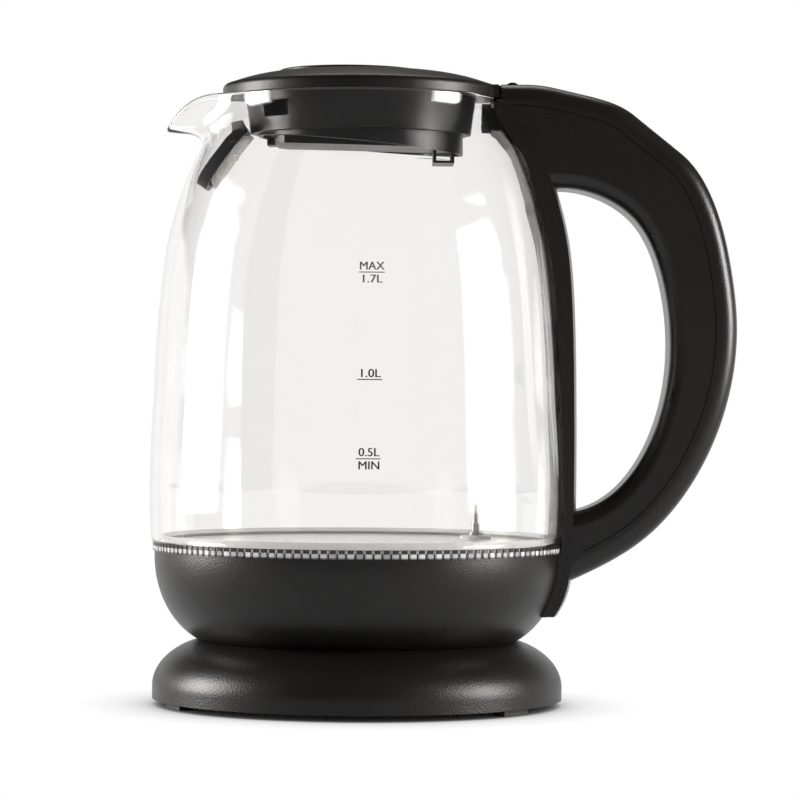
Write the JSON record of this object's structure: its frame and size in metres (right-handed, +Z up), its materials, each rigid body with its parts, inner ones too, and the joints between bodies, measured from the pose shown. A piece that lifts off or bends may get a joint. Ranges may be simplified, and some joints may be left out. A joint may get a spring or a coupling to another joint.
{
  "type": "electric kettle",
  "caption": "Cordless electric kettle: round glass jug with spout, black lower shell, hinged lid and loop handle, standing on a round swivel base.",
  "frame": {"origin": "on the floor, on the axis about which the kettle turns on its base", "axes": "+Z up, +X from the axis towards the handle, so the spout points along -X"},
  "size_m": [0.2228, 0.1591, 0.2415],
  "materials": {
    "black_satin": "satin",
    "black_matte": "matte",
    "rubber": "matte",
    "steel": "brushed",
    "aluminium": "satin",
    "brass": "polished",
    "white_plastic": "matte",
    "silicone": "matte",
    "clear_silicone": "translucent",
    "glass": "clear",
    "grey_mesh": "matte"
  },
  "bodies": {
    "base": {"base_cover": "black_satin", "base_plate": "black_matte", "base_feet": "rubber", "base_screws": "steel", "cord_gland": "black_matte", "connector_tower": "black_matte", "centre_contact": "brass"},
    "swivel": {"slip_ring": "brass"},
    "kettle": {"lower_shell": "black_satin", "hatch_cover": "black_matte", "hatch_screws": "steel", "socket_body": "black_matte", "socket_pin": "brass", "socket_ring": "brass", "control_unit": "white_plastic", "bimetal_disc": "steel", "heater_plate": "steel", "heat_spreader": "aluminium", "heater_tube": "aluminium", "element_terminals": "steel", "element_leads": "brass", "plate_studs": "steel", "stud_nuts": "steel", "probe_seal": "silicone", "temperature_probe": "steel", "probe_nut": "steel", "seal_ring": "clear_silicone", "glass_jug": "glass", "strainer_frame": "black_matte", "strainer_mesh": "grey_mesh", "back_strap": "black_satin", "handle_grip": "black_satin", "handle_cover": "black_satin", "handle_screws": "steel", "steam_bush": "rubber", "hinge_pin": "steel", "lid_spring": "steel", "button_spring": "steel", "switch_pin": "steel"},
    "lid": {"lid_cover": "black_satin", "lid_cap": "black_satin", "lid_skirt": "black_matte", "lid_screws": "steel", "steam_tray": "black_matte"},
    "button": {"release_button": "black_satin"},
    "latch": {"latch_slider": "black_matte"},
    "switch": {"power_switch": "black_satin"}
  },
  "joints": [
    {"name": "swivel_turn", "type": "hinge", "parent": "base", "child": "swivel", "pos_m": [0, 0, 0.0235], "axis": [0, 0, 1], "continuous": true},
    {"name": "kettle_lift", "type": "slide", "parent": "swivel", "child": "kettle", "axis": [0, 0, 1], "range_m": [0, 0.06]},
    {"name": "lid_hinge", "type": "hinge", "parent": "kettle", "child": "lid", "pos_m": [0.0575, 0, 0.2335], "axis": [0, 1, 0], "range_deg": [0, 75], "deforming": ["lid_spring"]},
    {"name": "button_press", "type": "slide", "parent": "kettle", "child": "button", "axis": [-0.6247, 0, -0.7809], "range_m": [0, 0.003], "stiffness_N_per_m": 600, "deforming": ["button_spring"]},
    {"name": "latch_slide", "type": "slide", "parent": "kettle", "child": "latch", "axis": [0.7809, 0, -0.6247], "range_m": [0, 0.003]},
    {"name": "switch_rock", "type": "hinge", "parent": "kettle", "child": "switch", "pos_m": [0.07707, 0, 0.0416], "axis": [0, 1, 0], "range_deg": [0, 8]}
  ],
  "couplings": [
    {"joint": "latch_slide", "follows": "button_press", "ratio": 1}
  ]
}
